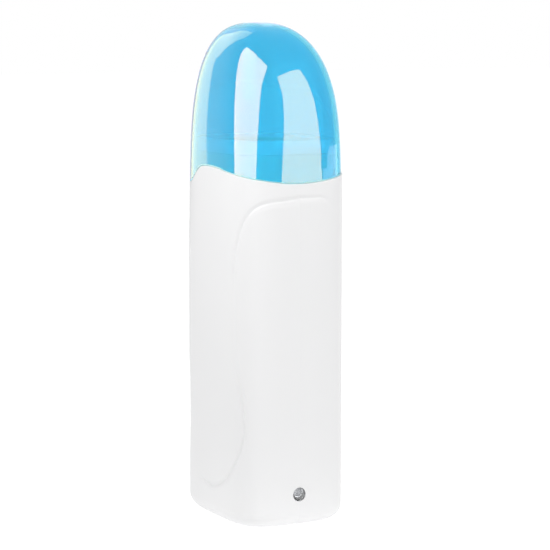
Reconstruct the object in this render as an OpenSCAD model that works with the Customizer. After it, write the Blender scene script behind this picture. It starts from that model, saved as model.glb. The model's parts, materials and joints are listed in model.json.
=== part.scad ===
// Roll-on wax heater: a hand-sized upright housing of two half shells with a
// heated cartridge well, a neck, and a clear blue dome cap that lifts off.
// Millimetres. +Z up, front face towards -Y, lamp on the +X side, and the
// origin at the middle of the footprint, on the surface the feet stand on.

/* [Housing] */
// Width across the side faces, at the skin under the cap
body_w = 59.6; // [57:0.2:64]
// Depth from the front face to the back
body_d = 48.8; // [47:0.2:53]
// Squareness of the outline (2 is an ellipse)
body_n = 4.1; // [3.7:0.1:5]
// Radius of the rounded edge round the base
base_r = 6.2; // [5:0.2:8]
// Wall of the two half shells
wall = 2.2; // [1.8:0.1:2.6]
// Floor of the shells round the base plate
floor_t = 3.2; // [2.8:0.1:4]
// Mean height of the joint line between housing and cap
joint_z = 138.6; // [132:0.2:146]
// Rise of the joint line at front and back, and its dip at the sides
wave_amp = 2.9; // [0:0.1:4]
// Fullness of the joint line between its crests
wave_fill = 0.3; // [0:0.05:0.6]
// Depth of the joint line's dip all along the left side
wave_left = 4.4; // [2.9:0.1:5]

/* [Raised side panels] */
// How far the side panels and the foot stand proud
panel_t = 0.4; // [0.2:0.05:0.6]
// Height of the panels' top edge
panel_top = 130.2; // [126:0.2:132]
// Half width of the front face at its waist
waist_x = 19.3; // [16:0.1:22]
// Height where the waist starts, under the top corner
waist_hi = 92; // [86:1:100]
// Height where the waist ends
waist_lo = 74; // [68:1:80]
// Half width of the front face at its hip
hip_x = 24.4; // [22:0.1:26]
// Height of the hip
hip_z = 41; // [36:1:46]
// Height of the foot's edge at the front
foot_z = 14.3; // [12.4:0.1:18]
// Distance behind the middle where the panels' top edge fades out
fade_y = 15.6; // [12:0.2:18]

/* [Cap] */
// Height of the cap's crown
cap_top = 197.6; // [188:0.2:206]
// Wall of the cap
cap_wall = 1.5; // [1.2:0.1:1.8]
// Gap all round between the cap and the neck
cap_gap = 0.35; // [0.25:0.05:0.5]
// Gap between the cap's edge and the housing
edge_gap = 0.3; // [0.2:0.05:0.5]
// Height where the cap's sides start to draw in
dome_z = 137.9; // [134:0.2:142]
// Fullness of the dome along its height
dome_p = 3.2; // [2.6:0.1:3.8]
// Fullness of the dome across its width
dome_q = 2.56; // [2.1:0.02:3]
// Squareness of the outline at the crown
crown_n = 2.94; // [2.2:0.02:3.8]
// How far the crown leans to the front
crown_lean = 3.2; // [0:0.1:5]
// How high up the lean starts (a power)
lean_pow = 3.9; // [2:0.1:5]

/* [Neck and cartridge well] */
// Height of the neck above the joint line, as a share of the cap's height
neck_share = 0.234; // [0.19:0.002:0.28]
// Wall of the neck
neck_wall = 1.65; // [1.5:0.05:2]
// Top thickness of the neck ring
ring_t = 1.5; // [1.2:0.1:2]
// Depth of the neck ring's skirt
ring_skirt = 4; // [3:0.1:6]
// Wall of the neck ring's skirt
ring_wall = 0.8; // [0.7:0.05:0.9]
// Wall of the well liner
liner_t = 1.2; // [1:0.1:1.5]
// Gap between the liner and the neck
liner_gap = 0.8; // [0.7:0.05:1.2]
// Height of the well's floor
well_z = 46; // [44:0.5:56]
// Corner radius inside the well
well_r = 10; // [9:0.2:12]
// Space behind the liner for the heater
heater_space = 6.9; // [6.6:0.1:8]

/* [Heater] */
// Width of the heat plate
plate_w = 28.4; // [26:0.2:28.6]
// Height of the heat plate
plate_h = 75; // [70:1:80]
// Height of the heat plate's lower edge
plate_z = 49.6; // [48:0.2:54]
// Thickness of the heat plate's flange
plate_t = 1.5; // [1.2:0.1:2]
// Width of the flange round the liner's window
plate_rim = 4.4; // [4.2:0.1:5]
// Width of the heater pack
pack_w = 21; // [18:0.5:22]
// Height of the heater pack
pack_h = 40; // [34:1:43]
// Thickness of the two ceramic stones
stone_t = 2.1; // [1.8:0.1:2.4]
// Thickness of each electrode plate
electrode_t = 0.4; // [0.3:0.05:0.5]
// Thickness of the insulating film round the pack
film_t = 0.2; // [0.15:0.05:0.3]
// Thickness of the spring bracket
bracket_t = 1; // [0.8:0.1:1.2]
// Height of the bracket's strip
bracket_h = 12; // [10:0.5:16]
// Thickness of the thermostat
stat_t = 3.8; // [3.4:0.1:4.2]
// Width of the thermostat
stat_w = 18; // [15:0.5:20]
// Diameter of the thermal fuse
fuse_d = 4; // [3.6:0.1:4.2]
// Width of the leaf spring in the well
leaf_w = 10; // [8:0.5:14]
// Thickness of the leaf spring
leaf_t = 0.5; // [0.4:0.05:0.6]
// How far the leaf spring bows into the well
leaf_bow = 2.2; // [1.5:0.1:2.4]

/* [Lamp and board] */
// Height of the pilot lamp
lamp_z = 13.8; // [13.4:0.1:17]
// Diameter of the pilot lamp
lamp_d = 5; // [3:0.1:5.4]
// How far the lamp's dome stands out
lamp_proud = 1; // [0.6:0.1:1.6]
// Gap round the lamp in the shells
lamp_gap = 0.25; // [0.05:0.05:0.3]
// Width of the lamp board
board_w = 16; // [14:0.5:17]
// Height of the lamp board
board_h = 21; // [19:0.5:24]
// Thickness of the lamp board
board_t = 1.6; // [1.2:0.1:2]
// Length of the lamp with its flange
lamp_l = 8.6; // [7.6:0.1:9]

/* [Power inlet] */
// Height of the inlet's middle
inlet_z = 18; // [17.6:0.1:21]
// Width of the inlet's body
inlet_w = 21.2; // [20:0.2:22]
// Height of the inlet's body
inlet_h = 11.6; // [11:0.2:12.6]
// Depth of the inlet's body
inlet_l = 16.4; // [15:0.2:18]
// Depth of the figure-eight socket
socket_l = 12.6; // [11:0.2:13]
// Distance between the two pins
pin_gap = 8.6; // [8:0.1:9]
// Diameter of the pins
pin_d = 2.4; // [2:0.1:2.6]

/* [Base and fasteners] */
// Thickness of the base plate
base_t = 1.6; // [1.4:0.1:1.8]
// How far the base plate lies in from the outline
base_in = 9.7; // [9.4:0.1:10.4]
// Width of the ledge that the base plate seats on
base_ledge = 1.8; // [1.4:0.1:2.4]
// Height of the rubber feet
foot_h = 0.8; // [0.6:0.1:1.4]
// Diameter of the rubber feet
foot_d = 7; // [6:0.2:7.4]
// Rim of the base plate outside the feet
foot_rim = 2; // [1.9:0.1:2.6]
// Distance of the shell screws from the skin
screw_in = 8.8; // [8.4:0.1:9.8]
// Height of the shell screws
screw_z = 34; // [32:0.5:38]
// Thread diameter of the shell screws
screw_d = 3; // [2.6:0.1:3.2]
// Length of the shell screws under the head
screw_l = 14; // [12:0.5:16]
// Thread diameter of the small screws
small_d = 2.4; // [2.2:0.1:2.6]

/* [Leads] */
// Diameter of the mains leads
lead_d = 2; // [1.6:0.1:2.2]
// Diameter of the lamp leads
thin_d = 1.2; // [1:0.1:1.4]

/* [Hidden] */

eps = 0.01;
fit = 0.05;                        // face to face fits between fixed pieces
quad = 24;                         // steps in each quarter of the outline
segs = 4 * quad;
spread = 1.6;                      // gathers the steps towards the corners
a = body_w / 2;
b = body_d / 2;
z0 = foot_h;                       // underside of the shells
neck_top = joint_z + neck_share * (cap_top - joint_z);
// how far the neck lies in from the skin: it clears the corners of the cap, which draw in on the way up
neck_u = (neck_top - dome_z) / (cap_top - cap_wall - dome_z);
neck_out = a - (a - cap_wall) * dome_k(neck_u) * pow(2, 1 / body_n - 1 / dome_n(neck_u)) + cap_gap;
neck_in = neck_out + neck_wall;
flange_z = neck_top - ring_t - liner_t;
ring_z = neck_top - ring_t - ring_skirt;
shoulder_z = joint_z - wave_amp - 5.6;

// Cartridge well, pushed to the front to leave the heater its space
well_front = -(b - neck_in) + liner_gap + 0.2 + liner_t;
well_back = b - wall - heater_space - liner_t;
well_w = 2 * (a - neck_in - liner_gap - liner_t);
well_d = well_back - well_front;
well_y = (well_back + well_front) / 2;
liner_back = well_back + liner_t;

// Heater stack behind the liner
plate_top = plate_z + plate_h;
win_w = plate_w - plate_rim;
win_lo = plate_z + plate_rim;
win_hi = plate_top - plate_rim;
pack_t = stone_t + 2 * electrode_t + 2 * film_t;
pack_z = win_hi - 1.4 - pack_h;
pack_y = liner_back;
bracket_y = pack_y + pack_t;
bracket_z = pack_z + pack_h / 2;
ear_y = bracket_y - 1.4;
ear_x = plate_w / 2 + 3.2;
ear_screw_l = bracket_t + 2.3;
pad_gap = 0.2;
pad_t = b - wall - 0.5 - (bracket_y + bracket_t) - pad_gap;
stat_h = 7.6;
stat_z = pack_z - 7 - stat_h;
fuse_l = 11;
fuse_z = win_lo + 0.6 + fuse_d / 2;
fuse_y = liner_back + 0.08 + fuse_d / 2;
tab_x = pack_w / 2 - 4;
tab_l = 4.6;
lead_y = liner_back + 2.6;

// Lamp and board
side_x = a + panel_t;
lamp_back = side_x + lamp_proud - lamp_l;
board_x = lamp_back - 1.8 - board_t;
board_z = z0 + floor_t;
board_gap = 0.1;

// Inlet
back_y = b + panel_t;
inlet_y = back_y - 0.4 - inlet_l;  // its inner end
flange_x = inlet_w / 2 + 1.5;
flange_y = wall_y(flange_x) - fit; // its flange bears on the wall here
tail_l = 3;

// Base
plate_up = z0 + base_t;
foot_x = a - base_in - foot_d / 2 - foot_rim;
foot_y = b - base_in - foot_d / 2 - foot_rim;
small_head = 1.75 * small_d;
base_screw_x = foot_x - foot_d / 2 - small_head / 2 - 2;
base_screw_y = b - base_in - small_head / 2 - 1.3;
screw_x = a - screw_in;
boss_top = inlet_z - inlet_h / 2 - 2.2;

// ---- outline of the housing ------------------------------------------------
function ease(s) = s < 0.5 ? 0.5 * pow(2 * s, spread) : 1 - 0.5 * pow(2 * (1 - s), spread);
function spow(v, p) = sign(v) * pow(abs(v), p);
function outline_pt(i, ax, by, n) =
    let (t = 90 * (floor(i / quad) + ease((i % quad) / quad)))
    [ax * spow(cos(t), 2 / n), by * spow(sin(t), 2 / n)];
function outline(inset, n = body_n) = [for (i = [0:segs - 1]) outline_pt(i, a - inset, b - inset, n)];
// depth of the inner wall at x
function wall_y(x) = (b - wall) * pow(1 - pow(x / (a - wall), body_n), 1 / body_n);
// how the dome draws in, and its squareness, from its foot (u = 0) to its crown (u = 1)
function dome_k(u) = pow(max(0, 1 - pow(u, dome_p)), 1 / dome_q);
function dome_n(u) = body_n + (crown_n - body_n) * u;
function at_z(pts, z) = [for (p = pts) [p[0], p[1], z]];
// height of the joint line where the outline passes the point p
function wave(p) =
    let (c = (p[1] * p[1] - p[0] * p[0]) / (p[1] * p[1] + p[0] * p[0]),
        q = min(1, (1 - c) / 0.86), fall = pow(q * q * (3 - 2 * q), 1.2))
    p[0] > 0 ? joint_z + wave_amp * c + wave_fill * (1 - c * c)
        : joint_z + wave_amp - (wave_amp + wave_left) * fall;
function on_wave(pts, up) = [for (p = pts) [p[0], p[1], wave(p) + up]];

function middle(ring) = [0, 0, (min([for (p = ring) p[2]]) + max([for (p = ring) p[2]])) / 2];

// closed skin through rings of equal count, bottom ring first
module loft(rings) {
    n = len(rings[0]);
    m = len(rings);
    polyhedron(
        points = concat([for (r = rings) each r], [middle(rings[0]), middle(rings[m - 1])]),
        faces = [
            for (j = [0:m - 2], i = [0:n - 1]) let (k = (i + 1) % n)
                each [[j * n + i, (j + 1) * n + i, (j + 1) * n + k], [j * n + i, (j + 1) * n + k, j * n + k]],
            for (i = [0:n - 1]) let (k = (i + 1) % n)
                each [[m * n, i, k], [m * n + 1, (m - 1) * n + k, (m - 1) * n + i]]
        ]);
}

// upright prism of the outline, between two heights
module prism(inset, z_lo, z_hi) {
    translate([0, 0, z_lo]) linear_extrude(height = z_hi - z_lo) polygon(outline(inset));
}

module box(x_lo, x_hi, y_lo, y_hi, z_lo, z_hi) {
    translate([x_lo, y_lo, z_lo]) cube([x_hi - x_lo, y_hi - y_lo, z_hi - z_lo]);
}

// rod along Y from y_lo to y_hi
module rod_y(x, z, d, y_lo, y_hi, fn = 48) {
    translate([x, y_hi, z]) rotate([90, 0, 0]) cylinder(d = d, h = y_hi - y_lo, $fn = fn);
}

module rod_x(y, z, d, x_lo, x_hi, fn = 48) {
    translate([x_lo, y, z]) rotate([0, 90, 0]) cylinder(d = d, h = x_hi - x_lo, $fn = fn);
}

// rounded rectangle
module rrect(w, d, r) {
    square([w - 2 * r, d], center = true);
    square([w, d - 2 * r], center = true);
    for (sx = [-1, 1], sy = [-1, 1])
        translate([sx * (w / 2 - r), sy * (d / 2 - r)]) circle(r = r, $fn = 64);
}

module well_prism(grow, z_lo, z_hi) {
    translate([0, well_y, z_lo]) linear_extrude(height = z_hi - z_lo)
        rrect(well_w + 2 * grow, well_d + 2 * grow, well_r + grow);
}

// ---- the raised panels' edge -----------------------------------------------
function bez(p, t) = pow(1 - t, 3) * p[0] + 3 * t * pow(1 - t, 2) * p[1]
    + 3 * t * t * (1 - t) * p[2] + pow(t, 3) * p[3];
function bez_run(p, n) = [for (i = [0:n]) bez(p, i / n)];
// right half of the front face's edge, from the panels' top down to the foot
front_edge = concat(
    bez_run([[a + 0.1, panel_top], [a - 3.8, panel_top - 4.2], [waist_x, waist_hi + 23], [waist_x, waist_hi]], 12),
    bez_run([[waist_x, waist_lo], [waist_x, waist_lo - 8], [hip_x, hip_z + 15], [hip_x, hip_z]], 8),
    [for (i = [1:12]) bez([[hip_x, hip_z], [hip_x, hip_z - 15], [14, foot_z + 0.5], [0, foot_z]], i / 12)]);
skin_hi = joint_z + wave_amp + 4;
// behind the middle the edge runs on level, bends down and fades
rear_edge = bez_run([[fade_y - 7.4, panel_top], [fade_y - 5, panel_top],
    [fade_y - 3, panel_top - 0.6], [fade_y, panel_top - 4]], 6);

// skin under the panels; behind the middle it rises to meet them
function skin_rise(y) = let (k = max(0, min(1, (y - fade_y + 7.6) / 7.6))) (panel_t - 0.05) * k * k * (3 - 2 * k);
skin_outline = [for (i = [0:segs - 1])
    let (p = outline_pt(i, a, b, body_n), r = skin_rise(p[1])) outline_pt(i, a + r, b + r, body_n)];

module skin_cut(front) {
    difference() {
        if (front)
            rotate([90, 0, 0]) linear_extrude(height = b + 4) polygon(concat(
                [[a + 4, skin_hi], [a + 4, panel_top]], front_edge,
                [for (i = [len(front_edge) - 2:-1:0]) [-front_edge[i][0], front_edge[i][1]]],
                [[-a - 4, panel_top], [-a - 4, skin_hi]]));
        else
            translate([-a - 4, 0, 0]) rotate([90, 0, 90]) linear_extrude(height = 2 * a + 8)
                polygon(concat([[0, skin_hi], [0, panel_top]], rear_edge, [[fade_y, skin_hi]]));
        translate([0, 0, -1]) linear_extrude(height = skin_hi + 2) polygon(skin_outline);
    }
}

// ---- housing ---------------------------------------------------------------
base_steps = 6;
outer_rings = concat(
    [for (k = [0:base_steps]) let (t = 90 * k / base_steps)
        at_z(outline(base_r * (1 - sin(t)) - panel_t), z0 + base_r * (1 - cos(t)))],
    [on_wave(outline(-panel_t), 0)]);
core_r = base_r - wall;
cavity_rings = concat(
    [for (k = [0:3]) let (t = 30 * k)
        at_z(outline(wall + core_r * (1 - sin(t))), z0 + floor_t + core_r * (1 - cos(t)))],
    [at_z(outline(wall), shoulder_z)]);

module half(front) {
    if (front) box(-a - 9, a + 9, -b - 9, 0, -1, neck_top + 9);
    else box(-a - 9, a + 9, 0, b + 9, -1, neck_top + 9);
}

// one hollow half of the housing, with its half of the neck
module half_shell(front) {
    difference() {
        intersection() {
            union() {
                loft(outer_rings);
                prism(neck_out, shoulder_z, ring_z - fit);
                prism(neck_out + ring_wall + fit, shoulder_z, flange_z);
            }
            half(front);
        }
        skin_cut(front);
        loft(cavity_rings);
        prism(neck_in, shoulder_z - 1, neck_top + 1);
        // seat and opening for the base plate
        prism(base_in - fit * 2, -1, plate_up);
        prism(base_in + base_ledge, -1, z0 + floor_t + 1);
        rod_x(0, lamp_z, lamp_d + 2 * lamp_gap, a - 8, a + 4);
    }
}

lip_t = 0.9;
lip_h = 1.2;
lip_lo = screw_z + 8;
lip_hi = shoulder_z - 4;
// tongue along the joint of the shells, and the groove that takes it
module tongue(gap) {
    intersection() {
        difference() {
            prism(wall - lip_t - gap, lip_lo - gap, lip_hi + gap);
            prism(wall + 0.4, lip_lo - 1, lip_hi + 1);
        }
        box(-a, a, gap > 0 ? -1 : -1.5, lip_h + gap, 0, neck_top);
    }
}

// rail with a slot for one edge of the lamp board
module board_rail(s) {
    y_edge = s * (board_w / 2 + board_gap);
    difference() {
        box(board_x - 0.8, a - wall - 0.2, min(y_edge - s * 1.1, y_edge + s * 1.3),
            max(y_edge - s * 1.1, y_edge + s * 1.3), board_z - 0.2, board_z + board_h + 1.5);
        box(board_x - board_gap / 2, board_x + board_t + board_gap / 2,
            min(0, y_edge), max(0, y_edge), board_z - 2, board_z + board_h + 3);
        box(board_x + board_t, a + 1, min(0, s * (lamp_d / 2 + 1.2)), max(0, s * (lamp_d / 2 + 1.2)),
            board_z - 2, board_z + board_h + 3);
    }
}

boss_d = 7.4;
base_boss_d = small_d + 3.2;
module base_boss(sy) {
    for (sx = [-1, 1]) {
        translate([sx * base_screw_x, sy * base_screw_y, plate_up])
            cylinder(d = base_boss_d, h = boss_top - plate_up, $fn = 48);
        box(sx * base_screw_x - 0.7, sx * base_screw_x + 0.7,
            min(sy * base_screw_y, sy * (b - wall - 0.6)), max(sy * base_screw_y, sy * (b - wall - 0.6)),
            z0 + floor_t - 0.5, boss_top - 0.6);
    }
}
module base_pilots(sy) {
    for (sx = [-1, 1]) translate([sx * base_screw_x, sy * base_screw_y, z0])
        cylinder(d = small_d + 2 * fit, h = boss_top - z0 - 1, $fn = 48);
}

module front_shell() {
    color([0.95, 0.95, 0.95]) difference() {
        union() {
            half_shell(true);
            tongue(0);
            // bosses that take the shell screws, with a rib to the side wall
            for (s = [-1, 1]) {
                rod_y(s * screw_x, screw_z, boss_d - 1, -b + wall + 2, 0);
                box(min(s * screw_x, s * (a - wall / 2)), max(s * screw_x, s * (a - wall / 2)),
                    -b / 2, -1.5, screw_z - 0.7, screw_z + 0.7);
            }
            base_boss(-1);
            board_rail(-1);
        }
        for (s = [-1, 1]) rod_y(s * screw_x, screw_z, screw_d + 2 * fit, -screw_l + 4, 1);
        base_pilots(-1);
    }
}

head_seat = 6;                     // height of the screw heads' seat in the rear shell
head_d = 1.9 * screw_d;
module rear_shell() {
    clip_x = inlet_w / 2 + 1.6;
    color([0.95, 0.95, 0.95]) difference() {
        union() {
            difference() {
                half_shell(false);
                tongue(0.15);
                box(-inlet_w / 2 - 0.1, inlet_w / 2 + 0.1, b - wall - 2, b + 4,
                    inlet_z - inlet_h / 2 - 0.1, inlet_z + inlet_h / 2 + 0.1);
            }
            for (s = [-1, 1]) {
                rod_y(s * screw_x, screw_z, boss_d + 0.6, 0, b - wall - 2);
                // hooks that hold the inlet's flange against the wall
                box(min(s * clip_x, s * (clip_x + 1.5)), max(s * clip_x, s * (clip_x + 1.5)),
                    flange_y - 3.4, b - wall / 2, inlet_z - 4, inlet_z + 4);
                box(min(s * (inlet_w / 2 + 0.3), s * (clip_x + 1)), max(s * (inlet_w / 2 + 0.3), s * (clip_x + 1)),
                    flange_y - 3.4, flange_y - 1.75, inlet_z - 4, inlet_z + 4);
            }
            base_boss(1);
            board_rail(1);
        }
        for (s = [-1, 1]) {
            rod_y(s * screw_x, screw_z, screw_d + 0.4, -1, b);
            rod_y(s * screw_x, screw_z, head_d + 0.5, head_seat, b + 4);
        }
        base_pilots(1);
    }
}

// ---- cap -------------------------------------------------------------------
dome_steps = 15;
// one ring of the dome, from its foot (u = 0) to its crown (u = 1)
function dome_ring(u, inset) =
    let (k = dome_k(u), n = dome_n(u), z = dome_z + (cap_top - inset - dome_z) * u)
    [for (i = [0:segs - 1]) let (p = outline_pt(i, (a - inset) * k, (b - inset) * k, n))
        [p[0], p[1] - crown_lean * pow(u, lean_pow), z]];
function dome(inset) = concat([on_wave(outline(inset), edge_gap)],
    [for (j = [1:dome_steps - 1]) dome_ring(sin(90 * j / dome_steps), inset)]);

module cap() {
    n = segs;
    m = dome_steps;
    q = n * m;
    color([0.25, 0.72, 0.93, 0.6]) polyhedron(
        points = concat([for (r = dome(0)) each r], [for (r = dome(cap_wall)) each r],
            [[0, -crown_lean, cap_top], [0, -crown_lean, cap_top - cap_wall]]),
        faces = [
            for (j = [0:m - 2], i = [0:n - 1]) let (k = (i + 1) % n, u = j * n, v = u + n)
                each [[u + i, v + i, v + k], [u + i, v + k, u + k],
                    [q + u + i, q + v + k, q + v + i], [q + u + i, q + u + k, q + v + k]],
            for (i = [0:n - 1]) let (k = (i + 1) % n, t = (m - 1) * n)
                each [[2 * q, t + k, t + i], [2 * q + 1, q + t + i, q + t + k],
                    [i, k, q + k], [i, q + k, q + i]]
        ]);
}

// ---- neck ring and well ----------------------------------------------------
module neck_ring() {
    color([0.93, 0.93, 0.93]) difference() {
        prism(neck_out, ring_z, neck_top);
        prism(neck_out + ring_wall, ring_z - 1, neck_top - ring_t);
        well_prism(0.3, neck_top - ring_t - 1, neck_top + 1);
    }
}

slit_z = [win_lo + 4, win_hi - 4];
module well_liner() {
    color([0.86, 0.86, 0.85]) difference() {
        union() {
            well_prism(liner_t, well_z - liner_t, neck_top - ring_t);
            prism(neck_out + ring_wall + fit, flange_z, neck_top - ring_t);
            for (s = [-1, 1]) rod_y(s * ear_x, bracket_z, 5, well_back - 1.5, ear_y);
        }
        well_prism(0, well_z, neck_top);
        box(-win_w / 2 - fit, win_w / 2 + fit, well_back - 1, liner_back + 1, win_lo - fit, win_hi + fit);
        // slits for the leaf spring's tabs
        for (z = slit_z) box(-leaf_w / 2 - 0.2, leaf_w / 2 + 0.2, well_front - liner_t - 1, well_front + 1,
            z - leaf_t - 0.1, z + leaf_t + 0.1);
        for (s = [-1, 1]) {
            rod_y(s * ear_x, bracket_z, small_d + 2 * fit, ear_y - 2.6, ear_y + 1);
            for (z = rivet_z) rod_y(s * rivet_x, z, rivet_d + 2 * fit, well_back - 1, liner_back + 1);
        }
    }
}

module heat_plate() {
    color([0.78, 0.79, 0.8]) difference() {
        union() {
            box(-plate_w / 2, plate_w / 2, well_back - plate_t, well_back, plate_z, plate_top);
            box(-win_w / 2, win_w / 2, well_back - eps, liner_back, win_lo, win_hi);
        }
        for (s = [-1, 1], z = rivet_z)
            rod_y(s * rivet_x, z, rivet_d + 2 * fit, well_back - plate_t - 1, liner_back);
    }
}

rivet_d = 1.8;
rivet_x = win_w / 2 - 3;
rivet_z = [plate_z + plate_rim / 2, plate_top - plate_rim / 2];
module plate_rivets() {
    color([0.7, 0.7, 0.72]) for (s = [-1, 1], z = rivet_z) {
        rod_y(s * rivet_x, z, rivet_d, well_back - plate_t - 0.3, liner_back + 0.3);
        rod_y(s * rivet_x, z, rivet_d + 1.6, well_back - plate_t - 0.6, well_back - plate_t);
        rod_y(s * rivet_x, z, rivet_d + 1.4, liner_back, liner_back + 0.7);
    }
}

// ---- heater ----------------------------------------------------------------
stone_y = pack_y + film_t + electrode_t;
module ptc_stones() {
    sh = (pack_h - 6) / 2;
    color([0.35, 0.33, 0.32]) for (z = [pack_z + 2, pack_z + 4 + sh])
        box(-pack_w / 2 + 1.4, pack_w / 2 - 1.4, stone_y, stone_y + stone_t, z, z + sh);
}

module electrode_plates() {
    color([0.83, 0.76, 0.55]) for (s = [-1, 1]) {
        y = s < 0 ? pack_y + film_t : stone_y + stone_t;
        box(-pack_w / 2 + 0.6, pack_w / 2 - 0.6, y, y + electrode_t, pack_z + 1, pack_z + pack_h - 1);
        box(s * tab_x - 1.6, s * tab_x + 1.6, y, y + electrode_t, pack_z - tab_l, pack_z + 2);
    }
}

module heater_film() {
    color([0.72, 0.48, 0.16]) difference() {
        box(-pack_w / 2, pack_w / 2, pack_y, pack_y + pack_t, pack_z, pack_z + pack_h);
        box(-pack_w / 2 + film_t, pack_w / 2 - film_t, pack_y + film_t, pack_y + pack_t - film_t,
            pack_z - 1, pack_z + pack_h + 1);
    }
}

// bent strip: a flat over the pack, a step down at each side and two ears
module heater_bracket() {
    x1 = pack_w / 2 + 1;
    x2 = x1 + bracket_t;
    x3 = ear_x + 3;
    y1 = bracket_y;
    y2 = bracket_y + bracket_t;
    half_pts = [[0, y2], [x2, y2], [x2, ear_y + bracket_t], [x3, ear_y + bracket_t],
        [x3, ear_y], [x1, ear_y], [x1, y1], [0, y1]];
    color([0.62, 0.64, 0.66]) difference() {
        translate([0, 0, bracket_z - bracket_h / 2]) linear_extrude(height = bracket_h)
            polygon(concat([for (i = [0:6]) half_pts[i]],
                [for (i = [6:-1:1]) [-half_pts[i][0], half_pts[i][1]]]));
        for (s = [-1, 1]) rod_y(s * ear_x, bracket_z, small_d + 0.3, ear_y - 1, ear_y + bracket_t + 1);
    }
}

module pan_screw(d, l, head) {
    difference() {
        union() {
            cylinder(d = d, h = l + eps, $fn = 32);
            translate([0, 0, l]) cylinder(d = head, h = 0.45 * d, $fn = 48);
            translate([0, 0, l + 0.45 * d - eps]) cylinder(d1 = head, d2 = head - 0.5 * d, h = 0.2 * d, $fn = 48);
        }
        for (r = [0, 90]) rotate([0, 0, r])
            translate([-0.6 * d, -0.13 * d, l + 0.3 * d]) cube([1.2 * d, 0.26 * d, d]);
    }
}

module bracket_screws() {
    color([0.7, 0.71, 0.73]) for (s = [-1, 1])
        translate([s * ear_x, ear_y + bracket_t - ear_screw_l, bracket_z]) rotate([-90, 0, 0])
            pan_screw(small_d, ear_screw_l, small_head);
}

module insulation_pad() {
    y = bracket_y + bracket_t + pad_gap;
    color([0.9, 0.88, 0.8]) box(-plate_w / 2 + 1, plate_w / 2 - 1, y, y + pad_t, win_lo, win_hi);
}

module thermostat() {
    color([0.2, 0.2, 0.22]) {
        box(-stat_w / 2 + 3, stat_w / 2 - 3, liner_back, liner_back + stat_t, stat_z, stat_z + stat_h);
        for (s = [-1, 1])
            box(min(s * (stat_w / 2 - 3 - eps), s * stat_w / 2), max(s * (stat_w / 2 - 3 - eps), s * stat_w / 2),
                liner_back + 1.4, liner_back + 2, stat_z + 2.2, stat_z + stat_h - 2.2);
    }
}

module thermal_fuse() {
    color([0.8, 0.72, 0.5]) {
        rod_x(fuse_y, fuse_z, fuse_d, -fuse_l / 2, fuse_l / 2);
        rod_x(fuse_y, fuse_z, 1, -fuse_l / 2 - 3, fuse_l / 2 + 3, 24);
    }
}

// bowed leaf with a tab through the liner at each end
module leaf_spring() {
    n = 16;
    zl = slit_z[0] - leaf_t / 2;
    zh = slit_z[1] + leaf_t / 2;
    function face(i, off) = let (t = i / n, y = well_front + leaf_bow * pow(sin(180 * t), 2) + off)
        [y, zl + (zh - zl) * t];
    color([0.74, 0.75, 0.77]) translate([-leaf_w / 2, 0, 0]) rotate([90, 0, 90]) linear_extrude(height = leaf_w)
        polygon(concat(
            [[well_front - liner_t, zl]], [for (i = [0:n]) face(i, i == 0 || i == n ? leaf_t : leaf_t)],
            [[well_front - liner_t, zh], [well_front - liner_t, zh - leaf_t], [well_front, zh - leaf_t]],
            [for (i = [n - 2:-1:2]) face(i, 0)],
            [[well_front, zl + leaf_t], [well_front - liner_t, zl + leaf_t]]));
}

// ---- lamp and board --------------------------------------------------------
module pilot_lamp() {
    r = lamp_d / 2;
    tip = side_x + lamp_proud;
    color([0.75, 0.77, 0.78]) {
        translate([lamp_back, 0, lamp_z]) rotate([0, 90, 0]) rotate_extrude($fn = 64)
            polygon(concat([[0, 0], [r + 0.4, 0], [r + 0.4, 1], [r, 1]],
                [for (i = [0:8]) [r * cos(90 * i / 8), lamp_l - r + r * sin(90 * i / 8)]]));
        for (s = [-1, 1])
            box(board_x - 1, lamp_back + eps, s * 1.27 - 0.25, s * 1.27 + 0.25, lamp_z - 0.25, lamp_z + 0.25);
    }
}

module lamp_spacer() {
    color([0.15, 0.15, 0.16]) difference() {
        rod_x(0, lamp_z, lamp_d + 1.4, board_x + board_t, lamp_back);
        for (s = [-1, 1])
            rod_x(s * 1.27, lamp_z, 0.9, board_x, lamp_back + 1, 24);
    }
}

part_z = board_z + board_h - 4;    // height of the board's small parts
module lamp_board() {
    color([0.1, 0.4, 0.24]) difference() {
        box(board_x, board_x + board_t, -board_w / 2, board_w / 2, board_z, board_z + board_h);
        for (s = [-1, 1]) rod_x(s * 1.27, lamp_z, 0.9, board_x - 1, board_x + board_t + 1, 24);
    }
}

// resistor and diode, lying along the board's inner face
module board_parts() {
    color([0.8, 0.68, 0.5]) for (k = [0, 1]) let (z = part_z - 3.6 * k, d = 2.4 - 0.4 * k) {
        translate([board_x - d / 2 - 0.1, -3.2, z]) rotate([-90, 0, 0]) cylinder(d = d, h = 6.4, $fn = 32);
        translate([board_x - d / 2 - 0.1, -5.4, z]) rotate([-90, 0, 0]) cylinder(d = 0.6, h = 10.8, $fn = 16);
        for (s = [-1, 1]) box(board_x - d / 2 - 0.4, board_x, s * 5.1 - 0.3, s * 5.1 + 0.3, z - 0.3, z + 0.3);
    }
}

// ---- inlet -----------------------------------------------------------------
module inlet_body() {
    zc = inlet_z;
    color([0.12, 0.12, 0.13]) difference() {
        union() {
            box(-inlet_w / 2, inlet_w / 2, inlet_y, inlet_y + inlet_l, zc - inlet_h / 2, zc + inlet_h / 2);
            box(-flange_x, flange_x, flange_y - 1.6, flange_y,
                zc - inlet_h / 2 - 1.3, zc + inlet_h / 2 + 1.3);
        }
        // figure-eight socket
        for (s = [-1, 1]) rod_y(s * pin_gap / 2, zc, 8.4, back_y - 0.4 - socket_l, back_y + 1, 64);
        box(-pin_gap / 2, pin_gap / 2, back_y - 0.4 - socket_l, back_y + 1, zc - 3.4, zc + 3.4);
        for (s = [-1, 1]) rod_y(s * pin_gap / 2, zc, pin_d + 2 * fit, inlet_y - 1, back_y);
    }
}

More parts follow.
